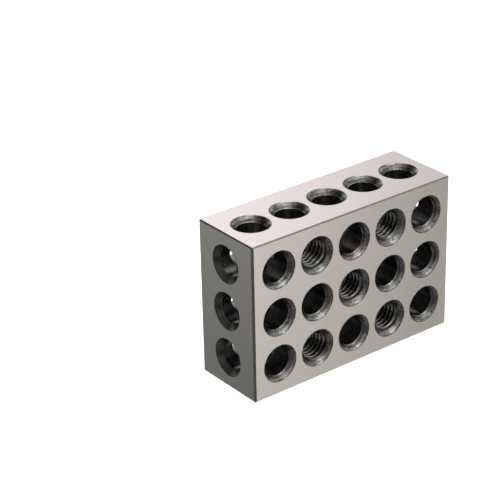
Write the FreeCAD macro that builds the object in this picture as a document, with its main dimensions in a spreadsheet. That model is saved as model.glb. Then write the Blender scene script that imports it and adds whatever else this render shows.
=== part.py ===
import FreeCAD, Part
import os
import math
import Sketcher

# ---------------------------------------------------------------------------
# Machinist setup block: one hardened and ground steel block, 3 x 2 x 1 inch,
# standing on one of its 3 x 1 inch faces.
#
# Frame: +X along the 3 inch length, +Y from the front face to the back face
# through the 1 inch thickness, +Z up the 2 inch height. The origin is the
# centre of the face that the block stands on.
#
# Three families of holes cross in the middle of the thickness:
#   front to back (along Y): a grid of 5 columns by 3 rows
#   top to bottom (along Z): 5 holes, one down each column
#   end to end    (along X): 3 holes, one through each row
# Five holes of the front grid, set in a quincunx, are tapped 3/8-16 UNC and
# have the wall of their tap drill here. All the others are plain clearance
# holes. Every hole has a countersunk mouth at both of its ends.
# ---------------------------------------------------------------------------

os.makedirs("parts", exist_ok=True)
doc = FreeCAD.newDocument("setup_block")
V = FreeCAD.Vector

# ----------------------------------------------------------- driving sizes
SIZES = [
    # alias, value, what it is
    ("block_length", 76.2, "3 inch side, along X"),
    ("block_depth", 25.4, "1 inch side, along Y"),
    ("block_height", 50.8, "2 inch side, along Z"),
    ("column_pitch", 14.25, "hole to hole along X"),
    ("row_pitch", 15.4, "hole to hole along Z"),
    ("bore_dia", 9.0, "plain clearance holes"),
    ("tap_drill_dia", 7.9375, "5/16 inch tap drill of the 3/8-16 UNC holes"),
    ("mouth_dia", 11.9, "countersinks where they meet a face"),
    ("mouth_angle", 82.0, "included angle of the countersinks, in degrees"),
    ("upright_chamfer", 0.6, "the four edges along Z"),
    ("rim_chamfer", 0.4, "the eight edges around the top and the bottom"),
]
sheet = doc.addObject("Spreadsheet::Sheet", "Dims")
sheet.Label = "Dims"
for row, (alias, value, note) in enumerate(SIZES, start=1):
    sheet.set("A%d" % row, alias)
    sheet.set("B%d" % row, repr(value))
    sheet.set("C%d" % row, note)
    sheet.setAlias("B%d" % row, alias)
doc.recompute()
D = {alias: float(sheet.get(alias)) for alias, _, _ in SIZES}

body = doc.addObject("PartDesign::Body", "setup_block")
body.Label = "setup_block"


def origin_plane(role):
    """One of the body's own origin planes, found by its role."""
    for feature in body.Origin.OriginFeatures:
        if feature.Role == role:
            return feature
    raise RuntimeError("the body has no origin plane " + role)


def sketch_on(name, role, offset=None):
    """A sketch on an origin plane, or moved off it along the plane's normal."""
    sketch = body.newObject("Sketcher::SketchObject", name)
    sketch.AttachmentSupport = [(origin_plane(role), "")]
    sketch.MapMode = "FlatFace"
    if offset:
        sketch.setExpression(".AttachmentOffset.Base.z", offset)
    return sketch


def named(sketch, constraint, name, formula):
    """Adds a constraint and binds its value to the sheet."""
    k = sketch.addConstraint(constraint)
    sketch.renameConstraint(k, name)
    sketch.setExpression("Constraints." + name, formula)


def check_volume(what, feature, expected):
    """A cut that points away from the solid shows no error, so its effect is compared."""
    if abs(feature.Shape.Volume - expected) > 2.0:
        raise RuntimeError(
            "%s left %.4f mm3, and %.4f was expected"
            % (what, feature.Shape.Volume, expected)
        )


# ------------------------------------------------------------- blank block
half_x, half_y = D["block_length"] / 2, D["block_depth"] / 2
outline = sketch_on("outline", "XY_Plane")
corners = [
    V(-half_x, -half_y, 0),
    V(half_x, -half_y, 0),
    V(half_x, half_y, 0),
    V(-half_x, half_y, 0),
]
for i in range(4):
    outline.addGeometry(Part.LineSegment(corners[i], corners[(i + 1) % 4]), False)
for i in range(4):
    outline.addConstraint(Sketcher.Constraint("Coincident", i, 2, (i + 1) % 4, 1))
outline.addConstraint(Sketcher.Constraint("Horizontal", 0))
outline.addConstraint(Sketcher.Constraint("Horizontal", 2))
outline.addConstraint(Sketcher.Constraint("Vertical", 1))
outline.addConstraint(Sketcher.Constraint("Vertical", 3))
outline.addConstraint(Sketcher.Constraint("Symmetric", 0, 1, 2, 1, -1, 1))
named(
    outline,
    Sketcher.Constraint("Distance", 0, D["block_length"]),
    "length",
    "Dims.block_length",
)
named(
    outline,
    Sketcher.Constraint("Distance", 1, D["block_depth"]),
    "depth",
    "Dims.block_depth",
)

blank = body.newObject("PartDesign::Pad", "blank")
blank.Profile = outline
blank.Type = 0
blank.setExpression("Length", "Dims.block_height")
doc.recompute()
check_volume(
    "blank", blank, D["block_length"] * D["block_depth"] * D["block_height"]
)


# ------------------------------------------------------------ outer edges
def straight_edges(shape, along):
    """The names of the outer edges that run along an axis, or across it."""
    names = []
    for i, edge in enumerate(shape.Edges, start=1):
        a, b = edge.Vertexes[0].Point, edge.Vertexes[-1].Point
        if (abs(b.z - a.z) > 1.0) == along:
            names.append("Edge%d" % i)
    return names


uprights = body.newObject("PartDesign::Chamfer", "upright_edges")
uprights.Base = (blank, straight_edges(blank.Shape, True))
uprights.ChamferType = 0
uprights.setExpression("Size", "Dims.upright_chamfer")
doc.recompute()
c = D["upright_chamfer"]
after_uprights = blank.Shape.Volume - 4 * 0.5 * c * c * D["block_height"]
check_volume("upright_edges", uprights, after_uprights)

rims = body.newObject("PartDesign::Chamfer", "rim_edges")
rims.Base = (uprights, straight_edges(uprights.Shape, False))
rims.ChamferType = 0
rims.setExpression("Size", "Dims.rim_chamfer")
doc.recompute()
if not 0 < uprights.Shape.Volume - rims.Shape.Volume < 40:
    raise RuntimeError("the chamfers around the top and bottom cut nothing")

# ------------------------------------------------------------------ holes
COLUMNS = (-2, -1, 0, 1, 2)  # left to right along X
ROWS = (1, 0, -1)  # top to bottom along Z
TAPPED = {(-1, 1), (1, 1), (0, 0), (-1, -1), (1, -1)}  # (column, row)
GRID = [(col, row) for row in ROWS for col in COLUMNS]


def times(pitch, n):
    return "Dims.%s * %d" % (pitch, n)


def hole_sketch(name, role, offset, centres, dia):
    """A sketch of hole centres. Each is ((x, its formula), (y, its formula))."""
    sketch = sketch_on(name, role, offset)
    for i, ((x, fx), (y, fy)) in enumerate(centres):
        sketch.addGeometry(Part.Circle(V(x, y, 0), V(0, 0, 1), D[dia] / 2), False)
        if fx:
            named(
                sketch,
                Sketcher.Constraint("DistanceX", -1, 1, i, 3, x),
                "across_%d" % (i + 1),
                fx,
            )
        else:
            sketch.addConstraint(Sketcher.Constraint("PointOnObject", i, 3, -2))
        if fy:
            named(
                sketch,
                Sketcher.Constraint("DistanceY", -1, 1, i, 3, y),
                "up_%d" % (i + 1),
                fy,
            )
        else:
            sketch.addConstraint(Sketcher.Constraint("PointOnObject", i, 3, -1))
        if i == 0:
            named(
                sketch,
                Sketcher.Constraint("Diameter", 0, D[dia]),
                "dia",
                "Dims." + dia,
            )
        else:
            sketch.addConstraint(Sketcher.Constraint("Equal", 0, i))
    return sketch


def drill(name, sketch, dia):
    """Through holes, countersunk where they enter."""
    doc.recompute()
    hole = body.newObject("PartDesign::Hole", name)
    hole.Profile = sketch
    hole.DepthType = "ThroughAll"
    hole.ThreadType = "None"
    hole.setExpression("Diameter", "Dims." + dia)
    hole.HoleCutType = "Countersink"
    hole.HoleCutCustomValues = True
    hole.setExpression("HoleCutDiameter", "Dims.mouth_dia")
    hole.setExpression("HoleCutCountersinkAngle", "Dims.mouth_angle")
    doc.recompute()
    return hole


def far_mouths(name, originals, plane):
    """The same holes seen in a mirror, which countersinks where they leave."""
    mirror = body.newObject("PartDesign::Mirrored", name)
    mirror.Originals = originals
    mirror.MirrorPlane = (plane, [""])
    body.Tip = mirror
    doc.recompute()
    return mirror


def hole_tools(centres, normal, length, dia):
    """Plain solids of the same holes, both mouths included, for the comparison."""
    r, rm = D[dia] / 2, D["mouth_dia"] / 2
    deep = (rm - r) / math.tan(math.radians(D["mouth_angle"] / 2))
    tools = []
    for at in centres:
        start = at + normal * (-length / 2)
        end = at + normal * (length / 2)
        tools.append(Part.makeCylinder(r, length, start, normal))
        tools.append(Part.makeCone(rm, r, deep, start, normal))
        tools.append(Part.makeCone(rm, r, deep, end, normal * -1))
    return tools


def at_column(col):
    return (col * D["column_pitch"], times("column_pitch", col) if col else None)


def at_row(row):
    return (
        D["block_height"] / 2 + row * D["row_pitch"],
        "Dims.block_height / 2 + " + times("row_pitch", row),
    )


mid = D["block_height"] / 2
reference = rims.Shape.copy()

# front to back: the plain holes, then the tapped ones
plain = [g for g in GRID if g not in TAPPED]
tapped = [g for g in GRID if g in TAPPED]
front_plain = drill(
    "front_clearance_holes",
    hole_sketch(
        "front_clearance_centres",
        "XZ_Plane",
        "Dims.block_depth / 2",
        [(at_column(col), at_row(row)) for col, row in plain],
        "bore_dia",
    ),
    "bore_dia",
)
front_tapped = drill(
    "front_tapped_holes",
    hole_sketch(
        "front_tapped_centres",
        "XZ_Plane",
        "Dims.block_depth / 2",
        [(at_column(col), at_row(row)) for col, row in tapped],
        "tap_drill_dia",
    ),
    "tap_drill_dia",
)
back_mouths = far_mouths(
    "back_mouths", [front_plain, front_tapped], origin_plane("XZ_Plane")
)
for group, dia in ((plain, "bore_dia"), (tapped, "tap_drill_dia")):
    reference = reference.cut(
        hole_tools(
            [
                V(col * D["column_pitch"], 0, mid + row * D["row_pitch"])
                for col, row in group
            ],
            V(0, 1, 0),
            D["block_depth"],
            dia,
        )
    )
check_volume("front to back holes", back_mouths, reference.Volume)

# top to bottom
top_holes = drill(
    "top_clearance_holes",
    hole_sketch(
        "top_clearance_centres",
        "XY_Plane",
        "Dims.block_height",
        [(at_column(col), (0, None)) for col in COLUMNS],
        "bore_dia",
    ),
    "bore_dia",
)
mid_height = body.newObject("PartDesign::Plane", "mid_height")
mid_height.AttachmentSupport = [(origin_plane("XY_Plane"), "")]
mid_height.MapMode = "FlatFace"
mid_height.setExpression(".AttachmentOffset.Base.z", "Dims.block_height / 2")
doc.recompute()
bottom_mouths = far_mouths("bottom_mouths", [top_holes], mid_height)
reference = reference.cut(
    hole_tools(
        [V(col * D["column_pitch"], 0, mid) for col in COLUMNS],
        V(0, 0, 1),
        D["block_height"],
        "bore_dia",
    )
)
check_volume("top to bottom holes", bottom_mouths, reference.Volume)

# end to end
end_holes = drill(
    "end_clearance_holes",
    hole_sketch(
        "end_clearance_centres",
        "YZ_Plane",
        "Dims.block_length / 2",
        [((0, None), at_row(row)) for row in ROWS],
        "bore_dia",
    ),
    "bore_dia",
)
left_mouths = far_mouths("left_mouths", [end_holes], origin_plane("YZ_Plane"))
reference = reference.cut(
    hole_tools(
        [V(0, 0, mid + row * D["row_pitch"]) for row in ROWS],
        V(1, 0, 0),
        D["block_length"],
        "bore_dia",
    )
)
check_volume("end to end holes", left_mouths, reference.Volume)

# ------------------------------------------------------------------ checks
body.Placement = FreeCAD.Placement()
doc.recompute()
for obj in doc.Objects:
    if "Invalid" in obj.State or "Error" in obj.State:
        raise RuntimeError("%s is %s" % (obj.Name, obj.State))
shape = body.Shape
if shape.isNull() or not shape.isValid() or len(shape.Solids) != 1:
    raise RuntimeError("setup_block isn't one valid solid")
box = shape.BoundBox
for got, want in (
    (box.XMin, -half_x),
    (box.XMax, half_x),
    (box.YMin, -half_y),
    (box.YMax, half_y),
    (box.ZMin, 0),
    (box.ZMax, D["block_height"]),
):
    if abs(got - want) > 1e-4:
        raise RuntimeError("a side is at %.4f instead of %.4f" % (got, want))

shape.exportStep("parts/setup_block.step")
print(
    "setup_block: %d faces, %.1f mm3, %.3f kg of steel"
    % (len(shape.Faces), shape.Volume, shape.Volume * 7.85e-6)
)
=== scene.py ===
import math

import bmesh
import bpy
import numpy as np
from mathutils import Matrix, Vector


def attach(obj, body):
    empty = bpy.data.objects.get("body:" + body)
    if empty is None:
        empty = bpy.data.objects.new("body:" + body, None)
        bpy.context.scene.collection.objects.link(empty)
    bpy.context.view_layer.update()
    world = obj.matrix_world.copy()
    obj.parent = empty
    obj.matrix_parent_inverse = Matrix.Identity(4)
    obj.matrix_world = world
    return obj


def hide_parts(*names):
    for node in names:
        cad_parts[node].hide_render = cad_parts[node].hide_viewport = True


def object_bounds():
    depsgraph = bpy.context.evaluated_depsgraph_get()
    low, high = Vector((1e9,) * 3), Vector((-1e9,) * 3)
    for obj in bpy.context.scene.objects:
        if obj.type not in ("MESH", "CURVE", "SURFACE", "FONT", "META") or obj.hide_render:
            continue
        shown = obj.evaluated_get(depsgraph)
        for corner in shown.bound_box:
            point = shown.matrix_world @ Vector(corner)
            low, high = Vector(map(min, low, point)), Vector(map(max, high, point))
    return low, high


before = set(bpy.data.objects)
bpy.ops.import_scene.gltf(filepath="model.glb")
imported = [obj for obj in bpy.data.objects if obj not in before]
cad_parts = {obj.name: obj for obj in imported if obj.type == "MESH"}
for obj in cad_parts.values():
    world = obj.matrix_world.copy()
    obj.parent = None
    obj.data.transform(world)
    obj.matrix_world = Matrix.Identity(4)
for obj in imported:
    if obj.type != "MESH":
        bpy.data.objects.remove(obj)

scene = bpy.context.scene
cad_low, cad_high = [tuple(v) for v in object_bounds()]

# Sizes in millimetres, in the frame of the CAD model: the block stands on z = 0
# and is centred on x = 0 and y = 0. The outer size is read from the frame.
LOW, HIGH = [np.array([c * 1000 for c in v]) for v in (cad_low, cad_high)]
HALF_X, HALF_Y, TALL = HIGH[0], HIGH[1], HIGH[2]
COLUMN_PITCH, ROW_PITCH = 14.25, 15.4
R_BORE, R_TAP, R_MOUTH = 4.5, 7.9375 / 2, 11.9 / 2
MOUTH_SLOPE = math.tan(math.radians(82.0 / 2))  # radius lost per mm of depth
UPRIGHT_CHAMFER, RIM_CHAMFER = 0.6, 0.4
PITCH, R_MAJOR = 25.4 / 16, 9.525 / 2  # 3/8-16 UNC
COLUMNS, ROWS = (-2, -1, 0, 1, 2), (1, 0, -1)
TAPPED = {(-1, 1), (1, 1), (0, 0), (-1, -1), (1, -1)}
AROUND = 120  # facets around a plain hole
BREAK = 0.15  # how far the rounding of a mouth's edge reaches along the face and down the cone
BREAK_STEPS = 3
THREAD_AROUND = 72

# ------------------------------------------------------------------ camera
camera_data = bpy.data.cameras.new("camera")
camera_data.sensor_fit = "HORIZONTAL"
camera_data.sensor_width = 36.0
camera_data.lens = 137.87
camera_data.clip_start, camera_data.clip_end = 0.02, 50.0
camera = bpy.data.objects.new("camera", camera_data)
scene.collection.objects.link(camera)
right = Vector((0.78764418, -0.61580031, -0.02016503))
down = Vector((-0.29100984, -0.34297187, -0.89313133))
ahead = Vector((0.54307451, 0.70933791, -0.44934375))
place = Matrix(
    (
        (right.x, -down.x, -ahead.x, -0.330844),
        (right.y, -down.y, -ahead.y, -0.394178),
        (right.z, -down.z, -ahead.z, 0.292247),
        (0, 0, 0, 1),
    )
)
camera.matrix_world = place
scene.camera = camera

# ------------------------------------------------------- holes of the block
# Each hole: a point on its axis at one face, the axis into the block, the
# length, and whether it is tapped.
MID = TALL / 2
HOLES = []
for row in ROWS:
    for col in COLUMNS:
        HOLES.append(
            dict(
                at=np.array([col * COLUMN_PITCH, -HALF_Y, MID + row * ROW_PITCH]),
                axis=np.array([0.0, 1.0, 0.0]),
                length=2 * HALF_Y,
                tapped=(col, row) in TAPPED,
            )
        )
for col in COLUMNS:
    HOLES.append(
        dict(
            at=np.array([col * COLUMN_PITCH, 0.0, TALL]),
            axis=np.array([0.0, 0.0, -1.0]),
            length=TALL,
            tapped=False,
        )
    )
for row in ROWS:
    HOLES.append(
        dict(
            at=np.array([-HALF_X, 0.0, MID + row * ROW_PITCH]),
            axis=np.array([1.0, 0.0, 0.0]),
            length=2 * HALF_X,
            tapped=False,
        )
    )


def across(axis):
    """Two directions across an axis, right-handed with it."""
    u = np.cross([0.0, 0.0, 1.0] if abs(axis[2]) < 0.9 else [1.0, 0.0, 0.0], axis)
    u /= np.linalg.norm(u)
    return u, np.cross(axis, u)


for hole in HOLES:
    hole["u"], hole["v"] = across(hole["axis"])


# ------------------------------------------------------------- mesh makers
def new_object(name, vertices, faces):
    mesh = bpy.data.meshes.new(name)
    mesh.from_pydata([tuple(v) for v in vertices], [], faces)
    mesh.update()
    made = bpy.data.objects.new(name, mesh)
    scene.collection.objects.link(made)
    return made


def revolved(name, hole, profile, around):
    """A closed solid of revolution about a hole's axis. profile is (depth, radius) pairs."""
    vertices, faces = [], []
    turn = 2 * np.pi * np.arange(around) / around
    for depth, radius in profile:
        ring = (
            hole["at"]
            + hole["axis"] * depth
            + radius * (np.outer(np.cos(turn), hole["u"]) + np.outer(np.sin(turn), hole["v"]))
        )
        vertices += list(ring)
    rings = len(profile)
    for k in range(rings - 1):
        for i in range(around):
            j = (i + 1) % around
            a, b = k * around + i, k * around + j
            faces.append((a, b, b + around, a + around))
    vertices.append(hole["at"] + hole["axis"] * profile[0][0])
    vertices.append(hole["at"] + hole["axis"] * profile[-1][0])
    first, last = len(vertices) - 2, len(vertices) - 1
    for i in range(around):
        j = (i + 1) % around
        faces.append((first, j, i))
        faces.append((last, (rings - 1) * around + i, (rings - 1) * around + j))
    return new_object(name, vertices, faces)


# The thread's outline over one pitch: (share of the pitch, radius)
FLANK = (R_MAJOR - R_TAP) * math.tan(math.radians(30)) / PITCH
ROOT = 0.125
CREST = 1 - ROOT - 2 * FLANK
OUTLINE = [
    (0.0, R_TAP),
    (CREST / 2, R_TAP),
    (CREST / 2 + FLANK, R_MAJOR),
    (CREST / 2 + FLANK + ROOT, R_MAJOR),
    (CREST / 2 + 2 * FLANK + ROOT, R_TAP),
]


def thread_radius(phase):
    """The thread's radius and its slope per mm of depth, at a phase from 0 to 1."""
    phase = np.mod(phase, 1.0)
    xs = [p for p, _ in OUTLINE] + [1.0]
    rs = [r for _, r in OUTLINE] + [R_TAP]
    radius = np.interp(phase, xs, rs)
    slope = np.zeros_like(radius)
    slope[(phase > xs[1]) & (phase < xs[2])] = (R_MAJOR - R_TAP) / (FLANK * PITCH)
    slope[(phase > xs[3]) & (phase < xs[4])] = -(R_MAJOR - R_TAP) / (FLANK * PITCH)
    return radius, slope


def threaded(name, hole, start):
    """A closed right-hand helical solid about a hole's axis, longer than the hole. start is the thread's phase at the face."""
    turns = int(math.ceil(hole["length"] / PITCH)) + 4
    begin = -2 * PITCH
    steps = len(OUTLINE)
    rows = turns * steps
    vertices, faces = [], []
    turn = 2 * np.pi * np.arange(THREAD_AROUND) / THREAD_AROUND
    lift = PITCH * turn / (2 * np.pi)
    for k in range(rows):
        share, radius = OUTLINE[k % steps]
        depth = begin + (k // steps + share - start) * PITCH + lift
        vertices += list(
            hole["at"]
            + np.outer(depth, hole["axis"])
            + radius * (np.outer(np.cos(turn), hole["u"]) + np.outer(np.sin(turn), hole["v"]))
        )
    index = lambda k, i: k * THREAD_AROUND + i
    for k in range(rows - 1):
        for i in range(THREAD_AROUND - 1):
            faces.append((index(k, i), index(k, i + 1), index(k + 1, i + 1), index(k + 1, i)))
    last = THREAD_AROUND - 1
    for k in range(rows - steps - 1):
        faces.append((index(k, last), index(k + steps, 0), index(k + 1 + steps, 0), index(k + 1, last)))
    # the two ends are closed to a point on the axis
    vertices.append(hole["at"] + hole["axis"] * (begin - 3 * PITCH))
    vertices.append(hole["at"] + hole["axis"] * (begin + (turns + 3) * PITCH))
    low, high = len(vertices) - 2, len(vertices) - 1
    for i in range(THREAD_AROUND - 1):
        faces.append((low, index(0, i + 1), index(0, i)))
        faces.append((high, index(rows - 1, i), index(rows - 1, i + 1)))
    # row 0 runs on into row `steps` after one turn, and the last rows likewise
    faces.append((low, index(steps, 0), index(0, last)))
    for k in range(steps):
        faces.append((low, index(k, 0), index(k + 1, 0)))
    for k in range(rows - steps - 1, rows - 1):
        faces.append((high, index(k + 1, last), index(k, last)))
    faces.append((high, index(rows - 1, 0), index(rows - 1 - steps, last)))
    return new_object(name, vertices, faces)


def chamfered_block(name):
    """The blank, cut by the planes of its twelve chamfers."""
    bm = bmesh.new()
    bmesh.ops.create_cube(bm, size=1.0)
    for v in bm.verts:
        v.co = Vector(
            (v.co.x * 2 * HALF_X, v.co.y * 2 * HALF_Y, (v.co.z + 0.5) * TALL)
        )
    cuts = []
    for sx in (-1, 1):
        for sy in (-1, 1):
            cuts.append(((sx * HALF_X, sy * (HALF_Y - UPRIGHT_CHAMFER), MID), (sx, sy, 0)))
    for top in (0, 1):
        z = TALL if top else 0.0
        up = 1 if top else -1
        for sx in (-1, 1):
            cuts.append(((sx * (HALF_X - RIM_CHAMFER), 0, z), (sx, 0, up)))
        for sy in (-1, 1):
            cuts.append(((0, sy * (HALF_Y - RIM_CHAMFER), z), (0, sy, up)))
    for point, normal in cuts:
        geometry = bm.verts[:] + bm.edges[:] + bm.faces[:]
        cut = bmesh.ops.bisect_plane(
            bm,
            geom=geometry,
            dist=1e-5,
            plane_co=Vector(point),
            plane_no=Vector(normal).normalized(),
            clear_outer=True,
        )
        edges = [e for e in cut["geom_cut"] if isinstance(e, bmesh.types.BMEdge)]
        bmesh.ops.contextual_create(bm, geom=edges)
    bmesh.ops.recalc_face_normals(bm, faces=bm.faces[:])
    mesh = bpy.data.meshes.new(name)
    bm.to_mesh(mesh)
    bm.free()
    made = bpy.data.objects.new(name, mesh)
    scene.collection.objects.link(made)
    return made


def outward(made):
    """Turns a closed mesh's faces outward."""
    bm = bmesh.new()
    bm.from_mesh(made.data)
    bmesh.ops.recalc_face_normals(bm, faces=bm.faces[:])
    if bm.calc_volume(signed=True) < 0:
        bmesh.ops.reverse_faces(bm, faces=bm.faces[:])
    open_edges = sum(not e.is_manifold for e in bm.edges)
    bm.to_mesh(made.data)
    bm.free()
    if open_edges:
        raise RuntimeError(f"{made.name} has {open_edges} open edges")


block = chamfered_block("setup_block_visual")
outward(block)
# A mouth's rounded edge, from the face to the cone, as (depth, radius, lean):
# lean is how far the surface has turned from the face's direction.
LEAN = math.atan2(1.0, MOUTH_SLOPE)  # the whole turn, from the face to the cone
ROUND = BREAK / math.tan(LEAN / 2)  # the rounding's own radius
LIP = []
for k in range(BREAK_STEPS + 1):
    lean = LEAN * k / BREAK_STEPS
    LIP.append((ROUND * (1 - math.cos(lean)), R_MOUTH + BREAK - ROUND * math.sin(lean), lean))

tools = []
for n, hole in enumerate(HOLES):
    r = R_TAP if hole["tapped"] else R_BORE
    deep = (R_MOUTH - r) / MOUTH_SLOPE
    over = 1.0
    wide = R_MOUTH + BREAK
    tools.append(
        revolved(
            f"tool_{n}",
            hole,
            [(-over, wide)]
            + [(d, rr) for d, rr, _ in LIP]
            + [(deep, r), (hole["length"] - deep, r)]
            + [(hole["length"] - d, rr) for d, rr, _ in reversed(LIP)]
            + [(hole["length"] + over, wide)],
            AROUND,
        )
    )
    if hole["tapped"]:
        hole["phase"] = 0.17 * n % 1.0
        tools.append(threaded(f"thread_tool_{n}", hole, hole["phase"]))
for tool in tools:
    outward(tool)
    cut = block.modifiers.new(tool.name, "BOOLEAN")
    cut.operation = "DIFFERENCE"
    cut.solver = "MANIFOLD"
    cut.object = tool
graph = bpy.context.evaluated_depsgraph_get()
made = bpy.data.meshes.new_from_object(block.evaluated_get(graph))
block.modifiers.clear()
old, block.data = block.data, made
bpy.data.meshes.remove(old)
made.name = block.name
for tool in tools:
    bpy.data.meshes.remove(tool.data)
bm = bmesh.new()
bm.from_mesh(block.data)
bmesh.ops.remove_doubles(bm, verts=bm.verts[:], dist=1e-4)
bmesh.ops.triangulate(bm, faces=bm.faces[:], quad_method="BEAUTY", ngon_method="BEAUTY")
bad = [e for e in bm.edges if not e.is_manifold]
print("visual block:", len(bm.verts), "vertices", len(bm.faces), "triangles", len(bad), "open edges", "volume", bm.calc_volume())
bm.to_mesh(block.data)
bm.free()


# -------------------------------------- what each triangle of the block is
mesh = block.data
count = len(mesh.vertices)
co = np.empty(count * 3)
mesh.vertices.foreach_get("co", co)
co = co.reshape(-1, 3)
tris = np.empty(len(mesh.polygons) * 3, dtype=np.int32)
mesh.loops.foreach_get("vertex_index", tris)
tris = tris.reshape(-1, 3)
corner = co[tris]  # triangle, corner, xyz
middle = corner.mean(1)
flat = np.cross(corner[:, 1] - corner[:, 0], corner[:, 2] - corner[:, 0])
area = np.linalg.norm(flat, axis=1)
flat /= np.maximum(area, 1e-12)[:, None]

GROUND, EDGE, MOUTH, BORE, THREAD, RIM = range(6)
kind = np.full(len(tris), -1)
best = np.full(len(tris), -2.0)
normal = np.repeat(flat[:, None, :], 3, axis=1)
grain = np.zeros((len(tris), 3, 3))  # millimetres along, across, and a shift that tells surfaces apart
# where each corner sits for the painted highlights and painted shade: height up a thread's flank, or share of the
# depth down a countersink
highlight_and_shade_place = np.zeros((len(tris), 3))


def on_plane(point, n, tolerance=2e-3):
    n = np.array(n, dtype=float)
    n /= np.linalg.norm(n)
    away = np.abs((corner - np.array(point)) @ n)
    return (away.max(1) < tolerance), n


for axis in range(3):
    for side, value in ((-1, LOW[axis]), (1, HIGH[axis])):
        n = np.zeros(3)
        n[axis] = side
        here, n = on_plane([value if a == axis else 0.0 for a in range(3)], n)
        kind[here] = GROUND
        best[here] = 2.0
        normal[here] = n
        along, over = {0: (2, 1), 1: (0, 2), 2: (0, 1)}[axis]
        grain[here] = np.stack(
            [
                corner[here][..., along],
                corner[here][..., over],
                np.full(corner[here].shape[:2], 40.0 * axis + 20.0 * side),
            ],
            -1,
        )
chamfers = []
for sx in (-1, 1):
    for sy in (-1, 1):
        chamfers.append(((sx * HALF_X, sy * (HALF_Y - UPRIGHT_CHAMFER), MID), (sx, sy, 0), 2))
for top in (0, 1):
    z, up = (TALL, 1) if top else (0.0, -1)
    for s in (-1, 1):
        chamfers.append(((s * (HALF_X - RIM_CHAMFER), 0, z), (s, 0, up), 1))
        chamfers.append(((0, s * (HALF_Y - RIM_CHAMFER), z), (0, s, up), 0))
for number, (point, n, along) in enumerate(chamfers):
    here, n = on_plane(point, n)
    here &= kind < 0
    kind[here] = EDGE if along == 2 else RIM
    best[here] = 2.0
    normal[here] = n
    over = np.cross(n, np.eye(3)[along])
    grain[here] = np.stack(
        [
            corner[here][..., along],
            corner[here] @ over,
            np.full(corner[here].shape[:2], 300.0 + 17.0 * number),
        ],
        -1,
    )

for n, hole in enumerate(HOLES):
    rel = corner - hole["at"]
    depth = rel @ hole["axis"]
    x, y = rel @ hole["u"], rel @ hole["v"]
    r = np.hypot(x, y)
    er = (x[..., None] * hole["u"] + y[..., None] * hole["v"]) / np.maximum(r, 1e-9)[..., None]
    et = np.cross(hole["axis"], er)
    near = np.minimum(depth, hole["length"] - depth)
    r_hole = R_TAP if hole["tapped"] else R_BORE
    deep = (R_MOUTH - r_hole) / MOUTH_SLOPE
    inside = (r.max(1) < R_MOUTH + BREAK + 0.02) & (near.min(1) > -0.01) & (best < 1.5)
    mid_depth = depth.mean(1)
    toward = np.where(mid_depth < hole["length"] / 2, 1.0, -1.0)[:, None, None]
    # the countersinks
    cone_away = np.abs(r - (R_MOUTH - near * MOUTH_SLOPE)).max(1)
    cone_n = -er - toward * MOUTH_SLOPE * hole["axis"]
    cone_n /= np.linalg.norm(cone_n, axis=-1, keepdims=True)
    # the rounded edge of the mouth, whose direction turns from the face's to the cone's
    lean = np.arcsin(np.clip((R_MOUTH + BREAK - r) / ROUND, 0.0, 1.0))
    lip_away = np.abs(near - ROUND * (1 - np.cos(lean))).max(1)
    lip_n = -er * np.sin(lean)[..., None] - toward * np.cos(lean)[..., None] * hole["axis"]
    lip_here = inside & (lip_away < 0.02) & (near.max(1) < LIP[-1][0] + 0.005)
    options = [(MOUTH, inside & (cone_away < 0.02), cone_n), (MOUTH, lip_here, lip_n)]
    if hole["tapped"]:
        turn = np.arctan2(y, x)
        phase = (depth - PITCH * turn / (2 * np.pi)) / PITCH + hole["phase"]
        mid_turn = np.arctan2(y.mean(1), x.mean(1))
        mid_phase = (depth.mean(1) - PITCH * mid_turn / (2 * np.pi)) / PITCH + hole["phase"]
        _, slope = thread_radius(np.mod(mid_phase, 1.0))
        thread_n = -er + slope[:, None, None] * (
            hole["axis"] - PITCH / (2 * np.pi * np.maximum(r, 1e-9))[..., None] * et
        )
        thread_n /= np.linalg.norm(thread_n, axis=-1, keepdims=True)
        off = np.abs(r - thread_radius(phase)[0]).max(1)
        options.append((THREAD, inside & (r.min(1) > R_TAP - 0.02) & (off < 0.12), thread_n))
    else:
        options.append((BORE, inside & (np.abs(r - R_BORE).max(1) < 0.02), -er))
    for what, fits, n_true in options:
        agree = np.einsum("ij,ij->i", flat, n_true.mean(1) / np.maximum(np.linalg.norm(n_true.mean(1), axis=1), 1e-9)[:, None])
        take = fits & (agree > best) & (agree > 0.5)
        best[take] = agree[take]
        # the countersinks of the three long holes kept the dark scale of their bores
        kind[take] = BORE if abs(hole["axis"][0]) > 0.5 else what
        normal[take] = n_true[take]
        grain[take] = np.stack([x, y, depth + 61.0 * (n + 1)], -1)[take]
        # place of the painted light: 0 at a thread's crest, where its painted highlight is, 1 in its shaded root; 0 at
        # a countersink's face, 1 where it meets the bore
        highlight_and_shade_place[take] = ((r - R_TAP) / (R_MAJOR - R_TAP) if what == THREAD else near / deep)[take]
lost = kind < 0
print("triangles by kind:", [int((kind == k).sum()) for k in range(6)], "unplaced:", int(lost.sum()), "area", float(area[lost].sum() / 2))
# a sliver that fits nothing takes its hole's bore
kind[lost] = BORE

block.data.transform(Matrix.Scale(0.001, 4))

mesh.polygons.foreach_set("use_smooth", np.ones(len(tris), dtype=bool))
mesh.normals_split_custom_set(normal.reshape(-1, 3).tolist())
layer = mesh.attributes.new("grain", "FLOAT_VECTOR", "CORNER")
layer.data.foreach_set("vector", grain.reshape(-1))
# carries the place of the painted highlights and painted shade, per corner
layer = mesh.attributes.new("highlight_and_shade_place", "FLOAT", "CORNER")
layer.data.foreach_set("value", highlight_and_shade_place.reshape(-1))


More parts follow.
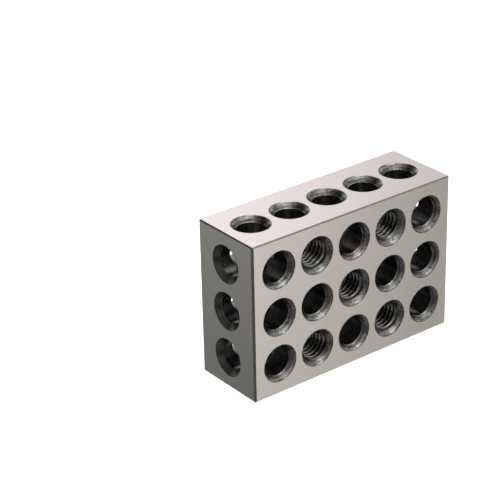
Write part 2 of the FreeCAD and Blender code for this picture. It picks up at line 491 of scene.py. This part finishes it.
# --------------------------------------------------------------- materials
def material(name):
    made = bpy.data.materials.new(name)
    made.use_nodes = True
    nodes, links = made.node_tree.nodes, made.node_tree.links
    nodes.clear()
    out = nodes.new("ShaderNodeOutputMaterial")
    shader = nodes.new("ShaderNodeBsdfPrincipled")
    links.new(shader.outputs[0], out.inputs[0])
    return made, nodes, links, shader


def stretched_noise(nodes, links, source, scale, size, detail=2.0, rough=0.5):
    """A noise over millimetres, scaled differently along each direction."""
    spread = nodes.new("ShaderNodeVectorMath")
    spread.operation = "MULTIPLY"
    spread.inputs[1].default_value = scale
    links.new(source, spread.inputs[0])
    noise = nodes.new("ShaderNodeTexNoise")
    noise.inputs["Scale"].default_value = size
    noise.inputs["Detail"].default_value = detail
    noise.inputs["Roughness"].default_value = rough
    links.new(spread.outputs[0], noise.inputs["Vector"])
    return noise.outputs["Fac"]


def span(nodes, links, source, low, high, from_low=0.3, from_high=0.7):
    """Maps a value's range onto another."""
    node = nodes.new("ShaderNodeMapRange")
    node.inputs["From Min"].default_value = from_low
    node.inputs["From Max"].default_value = from_high
    node.inputs["To Min"].default_value = low
    node.inputs["To Max"].default_value = high
    links.new(source, node.inputs["Value"])
    return node.outputs[0]


def blend_colour(nodes, links, factor, a, b):
    node = nodes.new("ShaderNodeMix")
    node.data_type = "RGBA"
    node.inputs["A"].default_value = (*a, 1)
    node.inputs["B"].default_value = (*b, 1)
    links.new(factor, node.inputs["Factor"])
    return node.outputs["Result"]


def together(nodes, links, a, b, operation="ADD"):
    node = nodes.new("ShaderNodeMath")
    node.operation = operation
    for source, socket in ((a, node.inputs[0]), (b, node.inputs[1])):
        if isinstance(source, (int, float)):
            socket.default_value = source
        else:
            links.new(source, socket)
    return node.outputs[0]


def bump(nodes, links, height, strength, distance):
    node = nodes.new("ShaderNodeBump")
    node.inputs["Strength"].default_value = strength
    node.inputs["Distance"].default_value = distance
    links.new(height, node.inputs["Height"])
    return node.outputs[0]


def attribute(nodes, name):
    node = nodes.new("ShaderNodeAttribute")
    node.attribute_name = name
    return node


GROUND_LIGHT, GROUND_DARK = (0.695, 0.662, 0.631), (0.665, 0.632, 0.602)
steel, nodes, links, shader = material("ground_faces")
place = attribute(nodes, "grain").outputs["Vector"]
lines = stretched_noise(nodes, links, place, (0.05, 9.0, 1.0), 1.0, 3.0, 0.6)
streaks = stretched_noise(nodes, links, place, (0.02, 1.3, 1.0), 1.0, 2.0, 0.5)
cloud = stretched_noise(nodes, links, place, (0.05, 0.08, 1.0), 1.0, 2.0, 0.5)
tone = together(nodes, links, together(nodes, links, cloud, 0.6, "MULTIPLY"), together(nodes, links, streaks, 0.4, "MULTIPLY"))
links.new(blend_colour(nodes, links, span(nodes, links, tone, 0.0, 1.0), GROUND_DARK, GROUND_LIGHT), shader.inputs["Base Color"])
shader.inputs["Metallic"].default_value = 1.0
links.new(span(nodes, links, together(nodes, links, lines, cloud), 0.255, 0.295, 0.7, 1.3), shader.inputs["Roughness"])
links.new(bump(nodes, links, lines, 0.012, 0.00001), shader.inputs["Normal"])


def dark_metal(name, light, dark, roughness, ring_scale, bump_strength, bump_distance, spot_scale=0.9, profile=None):
    """Dark machined metal with turned rings. profile, as (position, shade), lightens and darkens it by the attribute
    that places the painted highlights and painted shade along a thread or down a countersink.
    """
    made, nodes, links, shader = material(name)
    place = attribute(nodes, "grain").outputs["Vector"]
    rings = stretched_noise(nodes, links, place, ring_scale, 1.0, 3.0, 0.65)
    spots = stretched_noise(nodes, links, place, (spot_scale, spot_scale, spot_scale * 1.6), 1.0, 3.0, 0.65)
    tone = together(nodes, links, together(nodes, links, rings, 0.5, "MULTIPLY"), together(nodes, links, spots, 0.5, "MULTIPLY"))
    factor = span(nodes, links, tone, 0.0, 1.0, 0.38, 0.62)
    colour = blend_colour(nodes, links, factor, dark, light)
    if profile:
        ramp = nodes.new("ShaderNodeValToRGB")
        steps = ramp.color_ramp.elements
        while len(steps) < len(profile):
            steps.new(0.5)
        for step, (position, shade) in zip(steps, profile):
            step.position = position
            step.color = (shade, shade, shade, 1)
        links.new(attribute(nodes, "highlight_and_shade_place").outputs["Fac"], ramp.inputs["Fac"])
        mix = nodes.new("ShaderNodeMix")
        mix.data_type = "RGBA"
        mix.blend_type = "MULTIPLY"
        mix.inputs["Factor"].default_value = 1.0
        links.new(colour, mix.inputs["A"])
        links.new(ramp.outputs["Color"], mix.inputs["B"])
        colour = mix.outputs["Result"]
    links.new(colour, shader.inputs["Base Color"])
    shader.inputs["Metallic"].default_value = 1.0
    links.new(span(nodes, links, rings, roughness[0], roughness[1]), shader.inputs["Roughness"])
    links.new(bump(nodes, links, rings, bump_strength, bump_distance), shader.inputs["Normal"])
    return made


upright = dark_metal("upright_chamfers", (0.56, 0.54, 0.51), (0.42, 0.405, 0.385), (0.32, 0.42), (0.15, 3.0, 1.0), 0.2, 0.00002)
rim = dark_metal("rim_chamfers", (0.42, 0.375, 0.35), (0.31, 0.275, 0.255), (0.32, 0.42), (0.15, 3.0, 1.0), 0.2, 0.00002)
# The countersink's profile is partly painted light: a painted highlight along the bottom of the cone, where it meets
# the bore; above that the cone is lighter near the face and darker about two-thirds of the way down.
mouth = dark_metal(
    "countersink",
    (0.74, 0.73, 0.70),
    (0.09, 0.089, 0.084),
    (0.20, 0.32),
    (0.2, 0.2, 1.7),
    0.4,
    0.00007,
    1.3,
    [(0.0, 0.7), (0.2, 1.0), (0.45, 0.8), (0.62, 0.45), (0.8, 0.5), (0.93, 1.0)],
)
bore = dark_metal("oxide_bore", (0.24, 0.235, 0.23), (0.13, 0.128, 0.125), (0.26, 0.36), (0.10, 0.10, 2.2), 0.3, 0.00004)
# The thread's colour is painted light: its bright base colour and profile paint a highlight along the crests and
# painted shade down the flanks into the roots.
thread = dark_metal(
    "cut_thread",
    (1.0, 0.985, 0.95),
    (0.60, 0.59, 0.56),
    (0.14, 0.24),
    (0.3, 0.3, 3.0),
    0.3,
    0.00003,
    0.9,
    [(0.0, 1.0), (0.06, 0.9), (0.35, 0.3), (1.0, 0.05)],
)
mesh.materials.clear()
for made in (steel, upright, mouth, bore, thread, rim):
    mesh.materials.append(made)
mesh.polygons.foreach_set("material_index", kind.astype(np.int32))

# ----------------------------------------------------------- floor and light
floor_mesh = bpy.data.meshes.new("floor")
reach = 2.0
floor_mesh.from_pydata([(-reach, -reach, 0), (reach, -reach, 0), (reach, reach, 0), (-reach, reach, 0)], [], [(0, 1, 2, 3)])
floor = bpy.data.objects.new("floor", floor_mesh)
floor.location.z = -0.0002
scene.collection.objects.link(floor)
pale, nodes, links, shader = material("pale_floor")
shader.inputs["Base Color"].default_value = (0.8, 0.8, 0.8, 1)
shader.inputs["Roughness"].default_value = 0.9
shader.inputs["Emission Color"].default_value = (1, 1, 1, 1)
shader.inputs["Emission Strength"].default_value = 1.0
floor_mesh.materials.append(pale)
floor.visible_glossy = False
floor.visible_diffuse = False

# Soft light from all round: each lobe is a direction it comes from, how narrow
# it is, and its colour.
LOBES = [
    ((0.05, -0.05, 1.00), 14.0, (4.165, 4.113, 4.052)),
    ((-0.58, -0.69, 0.42), 16.0, (0.299, 0.295, 0.291)),
    ((-0.30, -0.60, -0.74), 20.0, (0.248, 0.245, 0.242)),
    ((0.59, 0.14, -0.80), 16.0, (0.950, 0.944, 0.927)),
    ((0.28, 0.96, -0.05), 16.0, (0.731, 0.758, 0.749)),
    ((0.45, 0.82, 0.36), 16.0, (0.665, 0.695, 0.697)),
    ((0.92, 0.01, -0.39), 16.0, (0.707, 0.737, 0.699)),
    ((0.45, -0.68, 0.58), 16.0, (0.600, 0.595, 0.579)),
    ((0.01, -0.68, 0.73), 16.0, (0.543, 0.539, 0.528)),
    ((0.12, 0.78, 0.61), 16.0, (0.410, 0.425, 0.422)),
    ((0.95, 0.14, 0.27), 16.0, (0.440, 0.434, 0.428)),
    ((0.06, 0.89, -0.45), 16.0, (0.346, 0.387, 0.417)),
    ((-0.06, 0.98, 0.20), 16.0, (0.312, 0.315, 0.307)),
    ((0.21, 0.22, -0.95), 16.0, (0.326, 0.319, 0.316)),
    ((0.57, 0.77, -0.30), 16.0, (0.303, 0.311, 0.298)),
    ((0.41, -0.80, -0.44), 80.0, (1.488, 1.139, 1.401)),
    ((0.74, -0.05, 0.67), 16.0, (0.242, 0.238, 0.229)),
    ((0.92, 0.35, -0.14), 16.0, (0.229, 0.244, 0.225)),
    ((0.51, -0.80, -0.32), 80.0, (1.185, 1.037, 1.065)),
    ((0.98, -0.20, 0.02), 16.0, (0.227, 0.214, 0.204)),
    ((0.83, -0.37, 0.42), 16.0, (0.162, 0.161, 0.161)),
    ((0.44, 0.70, 0.56), 80.0, (0.660, 0.571, 0.622)),
    ((-0.95, -0.18, -0.27), 16.0, (0.102, 0.100, 0.099)),
    ((-0.68, -0.29, -0.67), 16.0, (0.101, 0.100, 0.099)),
    ((-0.86, -0.51, -0.02), 16.0, (0.097, 0.096, 0.095)),
    ((-0.64, 0.70, -0.32), 80.0, (0.413, 0.441, 0.472)),
    ((-0.60, -0.48, 0.64), 16.0, (0.094, 0.092, 0.090)),
    ((0.44, -0.70, -0.56), 80.0, (0.295, 0.487, 0.274)),
    ((0.54, 0.71, 0.45), 80.0, (0.472, 0.090, 0.417)),
    ((-0.01, -0.18, -0.98), 16.0, (0.068, 0.063, 0.067)),
    ((0.35, -0.29, -0.89), 16.0, (0.072, 0.069, 0.055)),
    ((-0.27, 0.94, -0.20), 16.0, (0.044, 0.048, 0.071)),
    ((0.41, 0.80, 0.44), 80.0, (0.229, 0.302, 0.178)),
    ((-0.39, -0.02, -0.92), 16.0, (0.042, 0.046, 0.046)),
    ((0.56, 0.60, 0.56), 80.0, (0.147, 0.423, 0.000)),
    ((-0.92, 0.36, -0.11), 16.0, (0.033, 0.042, 0.033)),
    ((-0.66, 0.61, -0.44), 80.0, (0.147, 0.158, 0.180)),
    ((-0.41, 0.80, -0.44), 80.0, (0.199, 0.176, 0.078)),
    ((0.51, 0.80, 0.32), 80.0, (0.075, 0.181, 0.211)),
    ((0.70, 0.46, -0.55), 16.0, (0.028, 0.028, 0.041)),
    ((0.64, -0.70, -0.32), 80.0, (0.000, 0.138, 0.000)),
]
world = bpy.data.worlds.new("studio")
scene.world = world
world.use_nodes = True
nodes, links = world.node_tree.nodes, world.node_tree.links
nodes.clear()
out = nodes.new("ShaderNodeOutputWorld")
shade = nodes.new("ShaderNodeBackground")
white = nodes.new("ShaderNodeBackground")
white.inputs["Color"].default_value = (1, 1, 1, 1)
which = nodes.new("ShaderNodeMixShader")
path = nodes.new("ShaderNodeLightPath")
links.new(path.outputs["Is Camera Ray"], which.inputs[0])
links.new(shade.outputs[0], which.inputs[1])
links.new(white.outputs[0], which.inputs[2])
links.new(which.outputs[0], out.inputs[0])
where = nodes.new("ShaderNodeTexCoord").outputs["Generated"]
total = None
for direction, narrow, colour in LOBES:
    dot = nodes.new("ShaderNodeVectorMath")
    dot.operation = "DOT_PRODUCT"
    links.new(where, dot.inputs[0])
    dot.inputs[1].default_value = Vector(direction).normalized()
    short = together(nodes, links, together(nodes, links, dot.outputs["Value"], 1.0, "SUBTRACT"), narrow, "MULTIPLY")
    lobe = together(nodes, links, math.e, short, "POWER")
    tint = nodes.new("ShaderNodeVectorMath")
    tint.operation = "SCALE"
    tint.inputs[0].default_value = colour
    links.new(lobe, tint.inputs["Scale"])
    if total is None:
        total = tint.outputs[0]
    else:
        both = nodes.new("ShaderNodeVectorMath")
        both.operation = "ADD"
        links.new(total, both.inputs[0])
        links.new(tint.outputs[0], both.inputs[1])
        total = both.outputs[0]
links.new(total, shade.inputs["Color"])
scene.view_settings.view_transform = "Standard"
scene.view_settings.look = "None"

# ------------------------------------------------------------------- finish
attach(block, "root")
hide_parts("setup_block")
